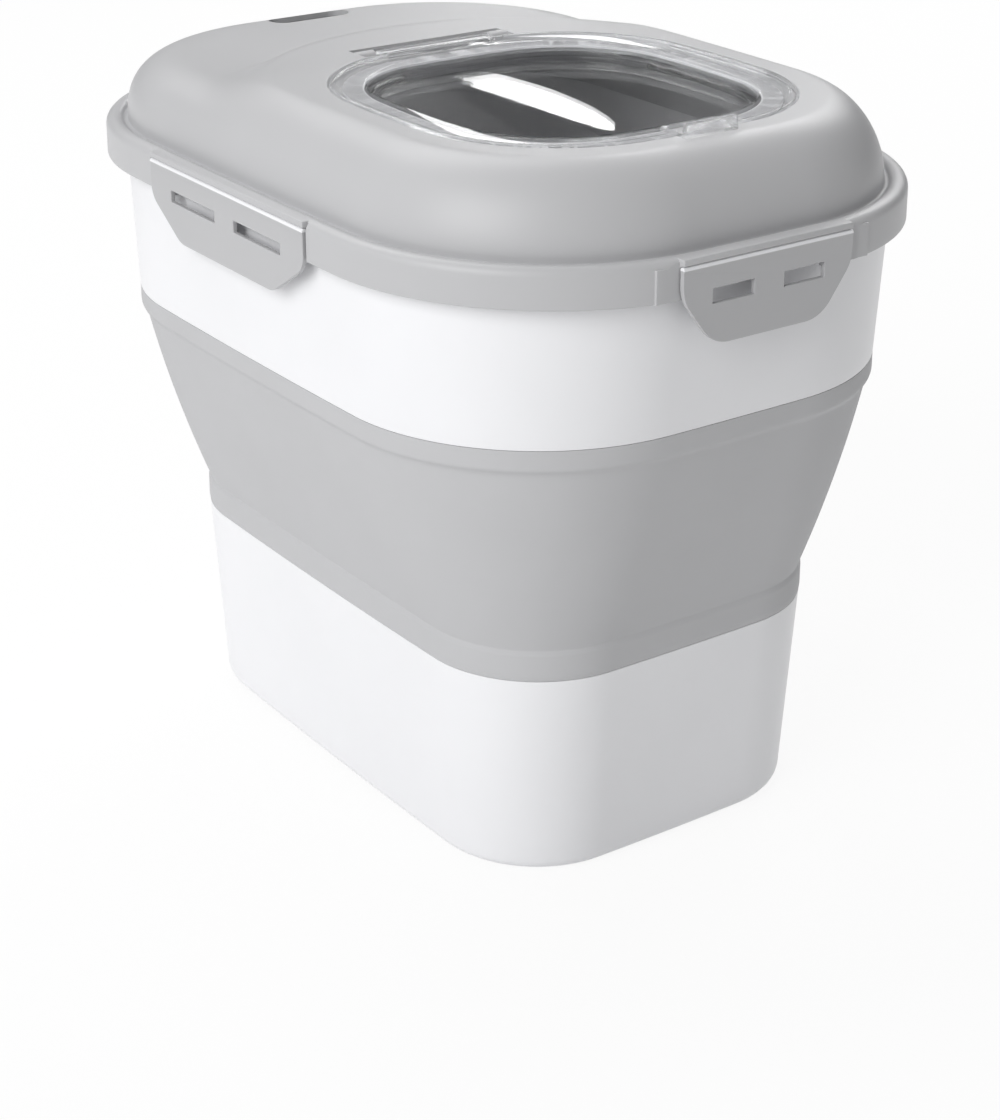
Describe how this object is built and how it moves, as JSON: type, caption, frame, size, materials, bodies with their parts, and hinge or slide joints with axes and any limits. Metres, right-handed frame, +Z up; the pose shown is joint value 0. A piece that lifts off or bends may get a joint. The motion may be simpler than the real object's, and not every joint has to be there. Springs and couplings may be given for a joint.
{
  "type": "collapsible rice storage container",
  "caption": "Tapered kitchen bin whose rubber sleeve folds so the upper ring sinks over the tub; domed lid with side locking clips and a clear flip window.",
  "frame": {"origin": "middle of the footprint, on the ground under the tub", "axes": "+Z up, +Y along the length from the finger tab of the window to the rear slot, +X across the width"},
  "size_m": [0.2704, 0.3784, 0.3265],
  "materials": {
    "white_plastic": "satin moulded polypropylene",
    "grey_plastic": "fine matte moulded polypropylene",
    "grey_rubber": "matte thermoplastic rubber",
    "seal_rubber": "soft silicone",
    "clear_plastic": "polished clear",
    "pin_steel": "drawn wire"
  },
  "bodies": {
    "base": {"lower_tub": "white_plastic", "folding_sleeve": "grey_rubber"},
    "ring": {"upper_ring": "white_plastic", "ring_lugs": "white_plastic"},
    "lid": {"lid": "grey_plastic", "lid_gasket": "seal_rubber", "window_hinge_pin": "pin_steel"},
    "window": {"flip_window": "clear_plastic", "window_seal": "seal_rubber"},
    "front_latch": {"front_clip": "grey_plastic"},
    "right_latch": {"right_clip": "grey_plastic"},
    "rear_latch": {"rear_clip": "grey_plastic"},
    "left_latch": {"left_clip": "grey_plastic"}
  },
  "joints": [
    {"name": "collapse", "type": "slide", "parent": "base", "child": "ring", "axis": [0, 0, -1], "range_m": [0, 0.192], "deforming": ["folding_sleeve"]},
    {"name": "lid_lift", "type": "slide", "parent": "ring", "child": "lid", "axis": [0, 0, 1], "range_m": [0, 0.1]},
    {"name": "window_flip", "type": "hinge", "parent": "lid", "child": "window", "pos_m": [0, 0.0481, 0.3174], "axis": [-1, 0, 0], "range_deg": [0, 110]},
    {"name": "front_clip_turn", "type": "hinge", "parent": "lid", "child": "front_latch", "pos_m": [0, -0.1853, 0.282], "axis": [-1, 0, 0], "range_deg": [0, 110]},
    {"name": "right_clip_turn", "type": "hinge", "parent": "lid", "child": "right_latch", "pos_m": [0.1339, 0.0026, 0.282], "axis": [0, -1, 0], "range_deg": [0, 110]},
    {"name": "rear_clip_turn", "type": "hinge", "parent": "lid", "child": "rear_latch", "pos_m": [0, 0.1905, 0.282], "axis": [1, 0, 0], "range_deg": [0, 110]},
    {"name": "left_clip_turn", "type": "hinge", "parent": "lid", "child": "left_latch", "pos_m": [-0.1339, 0.0026, 0.282], "axis": [0, 1, 0], "range_deg": [0, 110]}
  ]
}
